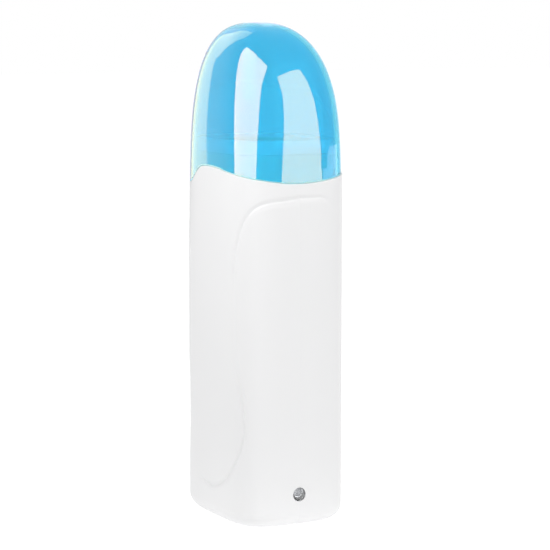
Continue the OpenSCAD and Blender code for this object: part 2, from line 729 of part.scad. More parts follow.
module inlet_pins() {
    color([0.8, 0.78, 0.7]) for (s = [-1, 1]) {
        rod_y(s * pin_gap / 2, inlet_z, pin_d, inlet_y - tail_l, back_y - 3.6);
        translate([s * pin_gap / 2, back_y - 3.6 - eps, inlet_z]) rotate([-90, 0, 0])
            cylinder(d1 = pin_d, d2 = pin_d * 0.5, h = 0.6, $fn = 48);
    }
}

// ---- leads -----------------------------------------------------------------
function unit(v) = v / norm(v);
// eight-sided tube through the points p; every bend is eased by its neighbours
module lead(p, d, up = [1, 0, 0]) {
    n = len(p);
    k = 8;
    rings = [for (j = [0:n - 1])
        let (t = j == 0 ? unit(p[1] - p[0]) : j == n - 1 ? unit(p[j] - p[j - 1]) : unit(p[j + 1] - p[j - 1]),
            u = unit(cross(t, up)), v = cross(t, u))
        [for (i = [0:k - 1]) p[j] + d / 2 * (cos(360 * i / k) * u + sin(360 * i / k) * v)]];
    polyhedron(points = [for (r = rings) each r],
        faces = concat([[for (i = [0:k - 1]) i]], [[for (i = [k - 1:-1:0]) (n - 1) * k + i]],
            [for (j = [0:n - 2], i = [0:k - 1]) let (m = (i + 1) % k)
                each [[j * k + i, (j + 1) * k + i, (j + 1) * k + m], [j * k + i, (j + 1) * k + m, j * k + m]]]));
}

tail_y = inlet_y - tail_l;
// from one pin's tail forward, up past the well's floor and up behind the liner
function riser(x, x_end, z_end) = [
    [x, tail_y, inlet_z], [x, tail_y - 0.5, inlet_z], [x, tail_y - 1.5, inlet_z + 1], [x, tail_y - 2, inlet_z + 2.8],
    [x, tail_y - 2, inlet_z + 8], [x, tail_y - 0.6, inlet_z + 12], [x, lead_y - 6, inlet_z + 17],
    [x, lead_y - 1.2, inlet_z + 21], [x, lead_y + 0.4, inlet_z + 25],
    [x_end, lead_y + 0.4, z_end - 6], [x_end, lead_y + 0.4, z_end]];

module live_lead() {
    x_end = fuse_l / 2 + 2;
    color([0.5, 0.25, 0.12]) lead(riser(pin_gap / 2, x_end, fuse_z - 0.5), lead_d);
}

module neutral_lead() {
    color([0.15, 0.35, 0.7]) lead(riser(-pin_gap / 2, -plate_w / 2 + 1.4, stat_z + stat_h - 2), lead_d);
}

module heater_links() {
    color([0.85, 0.85, 0.82]) {
        // fuse to thermostat
        lead([[-fuse_l / 2 - 2, fuse_y, fuse_z + 0.6], [-fuse_l / 2 - 2.4, fuse_y + 0.2, fuse_z + 2.4],
            [-stat_w / 2 + 0.9, liner_back + 1.7, stat_z + 1.4]], 1.4);
        // thermostat to the near electrode
        lead([[stat_w / 2 - 1, liner_back + 1.7, stat_z + stat_h - 2], [stat_w / 2 - 1, stone_y + 1.4, stat_z + stat_h + 1],
            [tab_x, stone_y + stone_t - 0.9, pack_z - tab_l - 0.2]], 1.4);
    }
}

module lamp_leads() {
    color([0.75, 0.1, 0.1]) for (s = [-1, 1])
        lead([[s * pin_gap / 2 + 0.6, tail_y + 0.6, inlet_z + pin_d / 2 + 0.5],
            [s * pin_gap / 2 + 2, tail_y - 1.6, inlet_z + 3 + s], [board_x - 7, s * 3 - 1, inlet_z - 2 + s],
            [board_x - 2, s * 3, lamp_z - 4], [board_x, s * 3, lamp_z - 4]], thin_d, [0, 0, 1]);
}

// ---- base and fasteners ----------------------------------------------------
module shell_screws() {
    color([0.7, 0.71, 0.73]) for (s = [-1, 1])
        translate([s * screw_x, head_seat - screw_l, screw_z]) rotate([-90, 0, 0])
            pan_screw(screw_d, screw_l, head_d);
}

module base_plate() {
    color([0.9, 0.9, 0.9]) difference() {
        prism(base_in, z0, plate_up);
        for (sx = [-1, 1], sy = [-1, 1]) {
            translate([sx * foot_x, sy * foot_y, z0 - 1]) cylinder(d = foot_d + 2 * fit, h = 1.8, $fn = 64);
            translate([sx * base_screw_x, sy * base_screw_y, z0 - 1])
                cylinder(d = small_head + 0.4, h = 1.9, $fn = 48);
            translate([sx * base_screw_x, sy * base_screw_y, z0 - 1])
                cylinder(d = small_d + 0.3, h = base_t + 2, $fn = 48);
        }
    }
}

module base_screws() {
    color([0.7, 0.71, 0.73]) for (sx = [-1, 1], sy = [-1, 1])
        translate([sx * base_screw_x, sy * base_screw_y, boss_top - 1.6]) rotate([180, 0, 0])
            pan_screw(small_d, boss_top - 1.6 - z0 - 0.9, small_head);
}

module base_feet() {
    color([0.2, 0.2, 0.21]) for (sx = [-1, 1], sy = [-1, 1]) translate([sx * foot_x, sy * foot_y, 0]) {
        cylinder(d1 = foot_d - 0.8, d2 = foot_d, h = 0.4, $fn = 64);
        translate([0, 0, 0.4 - eps]) cylinder(d = foot_d, h = z0 + 0.8 - 0.4 + eps, $fn = 64);
    }
}

front_shell();
rear_shell();
cap();
neck_ring();
well_liner();
heat_plate();
plate_rivets();
ptc_stones();
electrode_plates();
heater_film();
heater_bracket();
bracket_screws();
insulation_pad();
thermostat();
thermal_fuse();
leaf_spring();
pilot_lamp();
lamp_spacer();
lamp_board();
board_parts();
inlet_body();
inlet_pins();
live_lead();
neutral_lead();
heater_links();
lamp_leads();
shell_screws();
base_plate();
base_screws();
base_feet();
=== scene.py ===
"""Roll-on wax heater: the moulded housing, clear dome cap, lamp and all inner parts."""
import json
import math

import bmesh
import bpy
import numpy as np
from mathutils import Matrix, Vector

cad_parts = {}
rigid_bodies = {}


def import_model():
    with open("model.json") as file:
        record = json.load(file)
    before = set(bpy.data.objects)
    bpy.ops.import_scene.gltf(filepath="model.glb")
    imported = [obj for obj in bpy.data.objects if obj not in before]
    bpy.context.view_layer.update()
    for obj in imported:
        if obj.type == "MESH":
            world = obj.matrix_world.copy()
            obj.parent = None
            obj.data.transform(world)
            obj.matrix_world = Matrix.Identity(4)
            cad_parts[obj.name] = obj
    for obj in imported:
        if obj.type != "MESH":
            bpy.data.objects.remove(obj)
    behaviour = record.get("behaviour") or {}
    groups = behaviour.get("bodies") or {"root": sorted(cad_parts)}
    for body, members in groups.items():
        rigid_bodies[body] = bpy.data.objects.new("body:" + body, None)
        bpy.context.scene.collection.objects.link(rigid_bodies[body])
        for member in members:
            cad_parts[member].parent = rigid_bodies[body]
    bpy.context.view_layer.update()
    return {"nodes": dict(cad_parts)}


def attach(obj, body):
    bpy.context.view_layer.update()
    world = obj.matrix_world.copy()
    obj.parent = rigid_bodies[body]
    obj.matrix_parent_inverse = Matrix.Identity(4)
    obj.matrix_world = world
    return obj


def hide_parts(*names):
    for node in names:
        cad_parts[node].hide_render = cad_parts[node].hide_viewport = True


for ob in list(bpy.data.objects):
    bpy.data.objects.remove(ob)
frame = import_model()
MM = 0.001

# ---- sizes, as in the part's source (millimetres) ---------------------------
A, B = 29.8, 24.4            # half width and half depth at the skin
SQUARE = 4.1                 # squareness of the outline
BASE_R, WALL, FLOOR_T = 6.2, 2.2, 3.2
JOINT_Z, WAVE_AMP, WAVE_FILL, WAVE_LEFT = 138.6, 2.9, 0.3, 4.4
DIP_REACH, DIP_POW = 0.86, 1.2
PANEL_T, PANEL_TOP = 0.4, 130.2
WAIST_X, WAIST_HI, WAIST_LO = 19.3, 92.0, 74.0
HIP_X, HIP_Z, FOOT_Z = 24.4, 41.0, 14.3
FADE_Y, FADE_W = 15.6, 7.6   # where the side panels die out at the back, and over what depth
CAP_TOP, CAP_WALL, EDGE_GAP, CAP_GAP = 197.6, 1.5, 0.3, 0.35
DOME_Z, DOME_P, DOME_Q, CROWN_N, LEAN, LEAN_POW = 137.9, 3.2, 2.56, 2.94, 3.2, 3.9
NECK_SHARE, NECK_WALL = 0.234, 1.65
NECK_TOP = JOINT_Z + NECK_SHARE * (CAP_TOP - JOINT_Z)
NECK_U = (NECK_TOP - DOME_Z) / (CAP_TOP - CAP_WALL - DOME_Z)
NECK_OUT = (A - (A - CAP_WALL) * (1 - NECK_U ** DOME_P) ** (1 / DOME_Q)
            * 2 ** (1 / SQUARE - 1 / (SQUARE + (CROWN_N - SQUARE) * NECK_U)) + CAP_GAP)
NECK_IN = NECK_OUT + NECK_WALL
SHOULDER_Z = JOINT_Z - WAVE_AMP - 5.6
RING_T, RING_SKIRT, RING_WALL = 1.5, 4.0, 0.8
LINER_T, LINER_GAP, FRONT_GAP, HEATER_SPACE, WELL_R = 1.2, 0.8, 0.2, 6.9, 10.0
FLANGE_Z = NECK_TOP - RING_T - LINER_T
RING_Z = NECK_TOP - RING_T - RING_SKIRT
FIT, Z0 = 0.05, 0.8          # clearance of seated pieces, and height of the feet
LAMP_Z, LAMP_D, LAMP_GAP, LAMP_L, LAMP_PROUD = 13.8, 5.0, 0.25, 8.6, 1.0
LEG_Y, LEG_HALF = 1.27, 0.25
SPACER_L, BOARD_T, BOARD_W, BOARD_H = 1.8, 1.6, 16.0, 21.0
LAMP_BACK = A + PANEL_T + LAMP_PROUD - LAMP_L
BOARD_X, BOARD_Z = LAMP_BACK - SPACER_L - BOARD_T, Z0 + FLOOR_T
INLET_Z, INLET_W, INLET_H, FLANGE_RIM = 18.0, 21.2, 11.6, 1.5
FLANGE_X = INLET_W / 2 + FLANGE_RIM
FLANGE_Y = (B - WALL) * (1 - (FLANGE_X / (A - WALL)) ** SQUARE) ** (1 / SQUARE) - FIT
SCREW_X, SCREW_Z, SCREW_D, BOSS_D = 21.0, 34.0, 3.0, 7.4
SCREW_HOLE = 1.9 * SCREW_D + 0.5
BASE_IN, BASE_LEDGE, BASE_T, SMALL_D = 9.7, 1.8, 1.6, 2.4
BASE_SCREW_X, BASE_SCREW_Y = 7.0, 11.3
BOSS_TOP = INLET_Z - INLET_H / 2 - 2.2

# ---- sizes of the finer forms -----------------------------------------------
TOP_REACH = 12.0             # how far from the panels' top edge that edge counts as level
MIN_SLANT = 0.35             # limit of stretching the relief round a corner
GROOVE_DEPTH, GROOVE_OUT, GROOVE_IN = 0.4, 0.85, 0.34
TOP_DROP, TOP_R = 0.02, 0.3  # the shells' top edge: drop below the joint line, and rounding
V_DEPTH = 0.035              # the parting line is a hairline of a V
CHAMFER = 0.12
NECK_FILLET = [(0.0, 0.5), (0.06, 0.2), (0.2, 0.06), (0.5, 0.0)]  # out from the neck, up
# heights on the skin and the spacing of its rows from there down
SKIN_TOP, TOP_ROW = 133.0, 0.28
FRONT_ROWS = [(SKIN_TOP, TOP_ROW), (124.0, 0.5), (112.0, 1.1), (60.0, 0.7), (36.0, 0.35),
              (12.6, 0.6)]
REAR_ROWS = [(SKIN_TOP, TOP_ROW), (124.0, 0.8), (112.0, 2.2), (40.0, 1.2)]
LIP_SHARE = 0.4              # share of the gap under the cap's edge that the drawn edge keeps
LIP = [(0.08, 0.06), (0.3, 0.0)]   # rounding of the cap's edge: in from the face, up
APEX = [0.99996, 0.99999]    # last rings below the dome's tip, as shares of its height
LIT_EDGE_BAND = 0.2               # height above the gap of the cap's edge band that is painted paler: painted light on the edge
MOUTH_EASE, MOUTH_R, RIM_R = 0.3, 0.5, 0.7
RIB, HOOK_Z = 0.7, 4.0       # half thickness of a rib, half height of a hook


# ---- outline and surfaces ---------------------------------------------------
def spow(v, p):
    """Power that keeps the sign."""
    return np.sign(v) * np.abs(v) ** p


def outline(t, ax, by, n=SQUARE):
    """Points of the rounded outline at the angles t, in radians."""
    return ax * spow(np.cos(t), 2 / n), by * spow(np.sin(t), 2 / n)


def even_angles(lo, hi, count):
    """Angles between two, spaced evenly along the outline."""
    t = np.linspace(lo, hi, 40001)
    x, y = outline(t, A, B)
    s = np.concatenate([[0], np.cumsum(np.hypot(np.diff(x), np.diff(y)))])
    return np.interp(np.linspace(0, s[-1], count), s, t)


def quarter(n):
    """Angles of a quarter turn in n steps, in radians."""
    return [math.radians(90 * k / n) for k in range(n + 1)]


def smooth(v):
    """Soft step from 0 to 1."""
    v = np.clip(v, 0, 1)
    return v * v * (3 - 2 * v)


def wave(x, y):
    """Height of the joint line on the outline: a wave with a deeper dip on the left."""
    c = (y * y - x * x) / (x * x + y * y)
    fall = smooth((1 - c) / DIP_REACH) ** DIP_POW
    return np.where(x > 0, JOINT_Z + WAVE_AMP * c + WAVE_FILL * (1 - c * c),
                    JOINT_Z + WAVE_AMP - (WAVE_AMP + WAVE_LEFT) * fall)


def bez(*p):
    """Points along a cubic curve."""
    p = np.array(p, float)
    t = np.linspace(0, 1, 41)[:, None]
    u = 1 - t
    return u ** 3 * p[0] + 3 * t * u ** 2 * p[1] + 3 * t * t * u * p[2] + t ** 3 * p[3]


# the panels' edges: across and up on the front, deep and up on the sides
FRONT_EDGE = np.vstack([
    [[A + 9, PANEL_TOP]],
    bez([A + 0.1, PANEL_TOP], [A - 3.8, PANEL_TOP - 4.2], [WAIST_X, WAIST_HI + 23],
        [WAIST_X, WAIST_HI]),
    bez([WAIST_X, WAIST_LO], [WAIST_X, WAIST_LO - 8], [HIP_X, HIP_Z + 15], [HIP_X, HIP_Z]),
    bez([HIP_X, HIP_Z], [HIP_X, HIP_Z - 15], [14, FOOT_Z + 0.5], [0, FOOT_Z])[1:],
    [[-9, FOOT_Z]]])
REAR_EDGE = np.vstack([
    [[-9, PANEL_TOP]],
    bez([FADE_Y - 7.4, PANEL_TOP], [FADE_Y - 5, PANEL_TOP], [FADE_Y - 3, PANEL_TOP - 0.6],
        [FADE_Y, PANEL_TOP - 4]),
    [[FADE_Y + 4, PANEL_TOP - 12]]])


def line_distance(u, v, line):
    """Signed distance of the points (u, v) from a polyline, positive on its left-hand side."""
    best = np.full(u.shape, 1e9)
    sign = np.ones(u.shape)
    for (u0, v0), (u1, v1) in zip(line[:-1], line[1:]):
        du, dv = u1 - u0, v1 - v0
        length = du * du + dv * dv
        if length < 1e-12:
            continue
        k = np.clip(((u - u0) * du + (v - v0) * dv) / length, 0, 1)
        eu, ev = u - (u0 + k * du), v - (v0 + k * dv)
        d = np.hypot(eu, ev)
        near = d < best
        best[near] = d[near]
        sign[near] = np.where(du * ev - dv * eu > 0, 1, -1)[near]
    return best * sign


def relief(x, y, z, front):
    """How far the skin stands proud of the level under the cap: panels, foot and their groove."""
    upright = np.clip(1 - np.abs(z - PANEL_TOP) / TOP_REACH, 0, 1)
    if front:
        # the edge is drawn from the front, so widths are stretched back along the corner
        d = line_distance(np.abs(x), z, FRONT_EDGE)
        ny = np.abs(spow(y / B, SQUARE - 1) / B)
        nx = np.abs(spow(x / A, SQUARE - 1) / A)
        slant = np.clip(ny / np.hypot(nx, ny), MIN_SLANT, 1)
        d = d / (slant * (1 - upright) + upright)
        # the groove is deepest under the top edge and round the hip; along the foot it dies
        # out to the left, where the step grows soft
        left = smooth((-x - 4) / 8)
        depth = 0.15 + 0.85 * np.maximum(smooth((z - WAIST_HI) / 14), 1.15 * smooth((68 - z) / 17))
        depth = depth * (1 - left * smooth((70 - z) / 10))
        soft = left * smooth((60 - z) / 20)
        fade = np.ones_like(x)
    else:
        d = -line_distance(y, z, REAR_EDGE) / (MIN_SLANT * (1 - upright) + upright)
        fade = depth = 1 - smooth((y - FADE_Y + FADE_W) / FADE_W)
        soft = 0.0
    # the groove runs a little inside the edge along the top
    away = d - upright ** 2 * (0.1 + 0.6 * smooth(-y / 8))
    crisp = 0.5 * smooth((d + 7) / 10) + 0.5 * smooth((away - 0.4) / 1.9)
    step = crisp * (1 - soft) + smooth((d + 6) / 14) * soft
    low = PANEL_T * (1 - fade)
    reach = np.where(away < 0, GROOVE_OUT, GROOVE_IN)
    groove = GROOVE_DEPTH * np.exp(-(away / reach) ** 2) * fade * depth
    return low + (PANEL_T - low) * step - groove


# ---- mesh helpers -----------------------------------------------------------
def in_metres(verts):
    return (np.asarray(verts, float) * MM).tolist()


def new_object(name, verts, faces):
    """Object of a bare mesh; its points are in metres."""
    me = bpy.data.meshes.new(name)
    me.from_pydata(verts, [], faces)
    ob = bpy.data.objects.new(name, me)
    bpy.context.collection.objects.link(ob)
    return ob


def shade(ob, angle):
    """Smooth shading, with sharp edges where the faces turn by more than the angle, if any."""
    ob.data.shade_smooth()
    if angle:
        ob.data.set_sharp_from_angle(angle=math.radians(angle))


def mesh_object(name, verts, faces, body="housing", angle=None):
    """Piece of the part that rides on a body; its points are in millimetres."""
    ob = new_object(name, in_metres(verts), [list(map(int, f)) for f in faces])
    ob.data.validate()
    ob.data.update()
    shade(ob, angle)
    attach(ob, body)
    return ob


def outward(ob):
    """Turns every face of a closed mesh outward."""
    bm = bmesh.new()
    bm.from_mesh(ob.data)
    bmesh.ops.recalc_face_normals(bm, faces=bm.faces)
    if bm.calc_volume(signed=True) < 0:
        bmesh.ops.reverse_faces(bm, faces=bm.faces)
    bm.to_mesh(ob.data)
    bm.free()
    ob.data.update()
    return ob


def grid_faces(rows, cols, closed_cols=False, closed_rows=False):
    """Quads of a grid of points, which may close on itself either way."""
    faces = []
    for j in range(rows if closed_rows else rows - 1):
        j2 = (j + 1) % rows
        for i in range(cols if closed_cols else cols - 1):
            i2 = (i + 1) % cols
            faces.append((j * cols + i, j * cols + i2, j2 * cols + i2, j2 * cols + i))
    return faces


def box_data(xs, ys, zs):
    """Box between two values of x, of y and of z."""
    v = [(x, y, z) for x in sorted(xs) for y in sorted(ys) for z in sorted(zs)]
    f = [(0, 1, 3, 2), (4, 6, 7, 5), (0, 4, 5, 1), (2, 3, 7, 6), (0, 2, 6, 4), (1, 5, 7, 3)]
    return v, f


def rod_data(p0, p1, d, n=48):
    """Round rod between two points."""
    p0, p1 = np.array(p0, float), np.array(p1, float)
    w = (p1 - p0) / np.linalg.norm(p1 - p0)
    u = np.cross(w, [0, 0, 1] if abs(w[2]) < 0.9 else [1, 0, 0])
    u /= np.linalg.norm(u)
    v = np.cross(w, u)
    t = np.linspace(0, 2 * np.pi, n, endpoint=False)
    ring = d / 2 * (np.outer(np.cos(t), u) + np.outer(np.sin(t), v))
    verts = np.vstack([p0 + ring, p1 + ring])
    faces = [(i, (i + 1) % n, n + (i + 1) % n, n + i) for i in range(n)]
    faces += [tuple(range(n - 1, -1, -1)), tuple(range(n, 2 * n))]
    return verts, faces


def tube_data(p0, p1, d, bore, n=48):
    """Round tube between two points."""
    v0, f0 = rod_data(p0, p1, d, n)
    v1, f1 = rod_data(p0, p1, bore, n)
    faces = f0[:n] + [tuple(i + 2 * n for i in q[::-1]) for q in f1[:n]]
    for i in range(n):
        k = (i + 1) % n
        faces.append((i, 2 * n + i, 2 * n + k, k))
        faces.append((n + i, n + k, 3 * n + k, 3 * n + i))
    return np.vstack([v0, v1]), faces


def revolve(profile, n):
    """Profile of (radius, height) turned about its height, laid along +X."""
    t = np.linspace(0, 2 * np.pi, n, endpoint=False)
    verts, rows = [], []
    for r, h in profile:
        if r < 1e-6:
            rows.append([len(verts)])
            verts.append((h, 0, 0))
        else:
            rows.append(list(range(len(verts), len(verts) + n)))
            verts.extend((h, r * math.cos(a), r * math.sin(a)) for a in t)
    faces = []
    for p, q in zip(rows[:-1], rows[1:]):
        for i in range(n):
            k = (i + 1) % n
            if len(p) == 1 and len(q) > 1:
                faces.append((p[0], q[k], q[i]))
            elif len(q) == 1 and len(p) > 1:
                faces.append((p[i], p[k], q[0]))
            elif len(p) > 1:
                faces.append((p[i], p[k], q[k], q[i]))
    return np.array(verts, float), faces


def joined(name, parts, angle=35):
    """One piece of the housing from several closed shapes."""
    verts, faces, k = [], [], 0
    for v, f in parts:
        verts.extend(np.asarray(v, float).tolist())
        faces.extend([tuple(i + k for i in q) for q in f])
        k = len(verts)
    return outward(mesh_object(name, verts, faces, angle=angle))


def cutter(data):
    verts, faces = data
    return outward(new_object("cutter", in_metres(verts), faces))


def cut(ob, cutters):
    """Takes the cutters out of the piece."""
    for c in cutters:
        m = ob.modifiers.new("cut", "BOOLEAN")
        m.operation, m.solver, m.object = "DIFFERENCE", "EXACT", c
    bpy.context.view_layer.update()
    deps = bpy.context.evaluated_depsgraph_get()
    old, me = ob.data, bpy.data.meshes.new_from_object(ob.evaluated_get(deps))
    ob.modifiers.clear()
    ob.data = me
    me.name = old.name
    bpy.data.meshes.remove(old)
    for c in cutters:
        bpy.data.objects.remove(c)


# ---- the two half shells ----------------------------------------------------
def row_heights(starts, end):
    """Heights from the top down; each start is a height and the spacing from there on."""
    ends = [z for z, _ in starts[1:]] + [end]
    return np.concatenate([np.arange(z, low, -gap) for (z, gap), low in zip(starts, ends)])


def shell(front):
    """Half shell as one closed mesh: floor, inner wall, neck, top edge, skin and bottom edge."""
    cols = 361 if front else 261
    lo = math.pi if front else 0.0
    t = even_angles(lo, lo + math.pi, cols)
    x0, y0 = outline(t, A, B)
    y0[0] = y0[-1] = 0.0

    def ring(inset, z):
        """The outline drawn in by the inset, with its ends on the parting plane."""
        x, y = outline(t, A - inset, B - inset)
        y[0] = y[-1] = 0.0
        return np.stack([x, y, np.broadcast_to(z, t.shape)], 1)

    def skin(z, fillet=0.0):
        """The outline with the relief at the height z and the V of the parting line."""
        x, y = outline(t, A, B)
        height = relief(x, y, np.broadcast_to(z, t.shape), front)
        height[0] -= V_DEPTH
        height[-1] -= V_DEPTH
        return ring(fillet - height, z)

    # underside: seat of the base plate, opening, inner floor
    seat, opening = BASE_IN - 2 * FIT, BASE_IN + BASE_LEDGE
    rows = [ring(seat, Z0), ring(seat, Z0 + BASE_T),
            ring(opening, Z0 + BASE_T), ring(opening, Z0 + FLOOR_T)]
    core = BASE_R - WALL
    for th in quarter(8):
        rows.append(ring(WALL + core * (1 - math.sin(th)),
                         Z0 + FLOOR_T + core * (1 - math.cos(th))))
    # shoulder, bore of the neck, seats of the liner's flange and of the neck ring
    skirt, low = NECK_OUT + RING_WALL + FIT, RING_Z - FIT
    rows += [ring(WALL, SHOULDER_Z), ring(NECK_IN, SHOULDER_Z), ring(NECK_IN, FLANGE_Z),
             ring(skirt, FLANGE_Z), ring(skirt, low),
             ring(NECK_OUT + CHAMFER, low), ring(NECK_OUT, low - CHAMFER)]
    # neck down to the edge under the cap, with a small fillet there
    top = wave(x0, y0) - TOP_DROP
    rows += [ring(NECK_OUT - out, top + up) for out, up in NECK_FILLET]
    lift = PANEL_T * smooth((y0 - FADE_Y + FADE_W) / FADE_W)
    for th in quarter(4):
        rows.append(ring(TOP_R * (1 - math.sin(th)) - lift, top - TOP_R * (1 - math.cos(th))))
    # skin, dense where the panel's edge runs, and the bottom edge
    edge = top - TOP_R
    rows += [skin(edge + (SKIN_TOP + TOP_ROW - edge) * k / 9) for k in range(1, 9)]
    rows += [skin(z) for z in row_heights(FRONT_ROWS if front else REAR_ROWS, Z0 + BASE_R)]
    for th in quarter(12)[::-1]:
        rows.append(skin(Z0 + BASE_R * (1 - math.cos(th)), BASE_R * (1 - math.sin(th))))

    m = len(rows)
    faces = grid_faces(m, cols, closed_rows=True)
    # flat ends where the two shells meet
    faces.append([j * cols for j in range(m)])
    faces.append([j * cols + cols - 1 for j in range(m)][::-1])
    name = "front_shell_moulding" if front else "rear_shell_moulding"
    ob = outward(mesh_object(name, np.vstack(rows), faces))

    # openings for the lamp and, at the back, for the inlet and the screws
    past = B + 4
    cuts = [cutter(rod_data((A - 8, 0, LAMP_Z), (A + 4, 0, LAMP_Z), LAMP_D + 2 * LAMP_GAP, 64))]
    if not front:
        w, h = INLET_W / 2 + 2 * FIT, INLET_H / 2 + 2 * FIT
        cuts.append(cutter(box_data((-w, w), (B - WALL - 2, past), (INLET_Z - h, INLET_Z + h))))
        for x in (-SCREW_X, SCREW_X):
            cuts.append(cutter(rod_data((x, B - WALL - 6, SCREW_Z), (x, past, SCREW_Z),
                                        SCREW_HOLE, 64)))
    cut(ob, cuts)
    shade(ob, 40)
    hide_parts("front_shell" if front else "rear_shell")
    return ob


def shell_inside(front):
    """Bosses, ribs, hooks and board rails inside a shell."""
    s0 = -1 if front else 1
    parts = []
    for s in (-1, 1):
        # boss of the shell screw at the front, its post at the back
        x = s * SCREW_X
        y0, y1 = (-B + WALL + 2, 0) if front else (0, B - WALL - 2)
        d, bore = (BOSS_D - 1, SCREW_D + 0.1) if front else (BOSS_D + 0.6, SCREW_D + 0.4)
        parts.append(tube_data((x, y0, SCREW_Z), (x, y1, SCREW_Z), d, bore))
        # boss of the base screw, with its rib to the wall
        x, y = s * BASE_SCREW_X, s0 * BASE_SCREW_Y
        parts.append(tube_data((x, y, Z0 + BASE_T), (x, y, BOSS_TOP),
                               SMALL_D + 3.2, SMALL_D + 0.1))
        parts.append(box_data((x - RIB, x + RIB),
                              (s0 * (BASE_SCREW_Y + 2.6), s0 * (B - WALL - 0.6)),
                              (Z0 + FLOOR_T, BOSS_TOP - 0.6)))
        if front:
            # rib from the screw's boss to the side wall
            parts.append(box_data((s * (SCREW_X + 3), s * (A - WALL)), (-B / 2, -1.5),
                                  (SCREW_Z - RIB, SCREW_Z + RIB)))
        else:
            # hook that holds the inlet's flange
            side, tall = INLET_W / 2 + 1.6, (INLET_Z - HOOK_Z, INLET_Z + HOOK_Z)
            parts.append(box_data((s * side, s * (side + 1.5)), (FLANGE_Y - 3.4, B - WALL), tall))
            parts.append(box_data((s * (INLET_W / 2 + 0.3), s * (side + 1)),
                                  (FLANGE_Y - 3.4, FLANGE_Y - 1.75), tall))
    # slotted rail for an edge of the lamp board
    edge = s0 * (BOARD_W / 2 + 0.1)
    tall = (BOARD_Z, BOARD_Z + BOARD_H + 1.5)
    slot = (BOARD_X - FIT, BOARD_X + BOARD_T + FIT)
    for xs in ((BOARD_X - 0.8, slot[0]), (slot[1], A - WALL - 0.2)):
        parts.append(box_data(xs, (edge - s0 * 1.1, edge + s0 * 1.3), tall))
    parts.append(box_data(slot, (edge + s0 * 0.02, edge + s0 * 1.3), tall))
    ob = joined("front_shell_bosses" if front else "rear_shell_bosses", parts)
    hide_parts("front_shell" if front else "rear_shell")
    return ob


# ---- cap --------------------------------------------------------------------
def cap_piece():
    """Hollow dome: inner skin, rounded edge along the joint line, outer skin."""
    cols = 480
    t = even_angles(0, 2 * math.pi, cols + 1)[:-1]

    def dome_ring(u, z, inset):
        """The dome at the share u of its height, where it draws in, grows rounder and leans."""
        k = np.maximum(0.0, 1 - u ** DOME_P) ** (1 / DOME_Q)
        x, y = outline(t, (A - inset) * k, (B - inset) * k, SQUARE + (CROWN_N - SQUARE) * u)
        return np.stack([x, y - LEAN * u ** LEAN_POW, np.broadcast_to(z, t.shape)], 1)

    def foot(inset, up):
        """The cap's edge; it is drawn a little nearer to the housing than the solid's."""
        x, y = outline(t, A - inset, B - inset)
        return np.stack([x, y, wave(x, y) + LIP_SHARE * EDGE_GAP + up], 1)

    def skin(inset):
        """Rings from just above the edge to the tip."""
        rise = CAP_TOP - inset - DOME_Z
        first = math.sin(math.radians(6))
        low, start = foot(inset, 0.25)[:, 2], DOME_Z + rise * first
        rings = []
        for k in range(10):
            z = low + (start - low) * k / 10
            rings.append(dome_ring(np.clip((z - DOME_Z) / rise, 0, 1), z, inset))
        turns = np.radians(np.linspace(0, 90, 97))[1:-1]
        for u in [first] + [first + (1 - first) * math.sin(v) for v in turns] + APEX:
            rings.append(dome_ring(u, DOME_Z + rise * u, inset))
        return rings

    outer, inner = skin(0.0), skin(CAP_WALL)
    lip = [foot(CAP_WALL - inset, up) for inset, up in LIP] + [foot(*at) for at in LIP[::-1]]
    rows = inner[::-1] + lip + outer
    verts = np.vstack(rows + [[[0, -LEAN, CAP_TOP - CAP_WALL]], [[0, -LEAN, CAP_TOP]]])
    m = len(rows)
    faces = grid_faces(m, cols, closed_cols=True)
    for i in range(cols):
        k = (i + 1) % cols
        faces.append((m * cols, k, i))
        faces.append((m * cols + 1, (m - 1) * cols + i, (m - 1) * cols + k))
    ob = outward(mesh_object("cap_dome", verts, faces, "cap"))
    # crisp edges round the lip only
    first, last = (len(inner) - 1) * cols, (len(inner) + len(lip) + 1) * cols
    for edge in ob.data.edges:
        p, q = edge.vertices
        if first <= p < last and first <= q < last and p // cols == q // cols:
            edge.use_edge_sharp = True
    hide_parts("cap")
    return ob


# ---- neck ring --------------------------------------------------------------
def rounded_rectangle(t, w, d, r, cy):
    """Rounded rectangle about (0, cy), with one point for each angle of the outline."""
    x0, y0 = outline(t, A, B)
    turn = np.arctan2(y0 * w / d * A / B, x0)
    hx, hy = w / 2 - r, d / 2 - r
    out = []
    for c, s in zip(np.cos(turn), np.sin(turn)):
        # ray from the middle to the side
        k = min(w / 2 / max(abs(c), 1e-9), d / 2 / max(abs(s), 1e-9))
        if abs(c) * k > hx and abs(s) * k > hy:
            # ray to the corner's arc
            along = abs(c) * hx + abs(s) * hy
            k = along + math.sqrt(max(0, along * along - (hx * hx + hy * hy - r * r)))
        out.append((c * k, s * k + cy))
    return np.array(out)


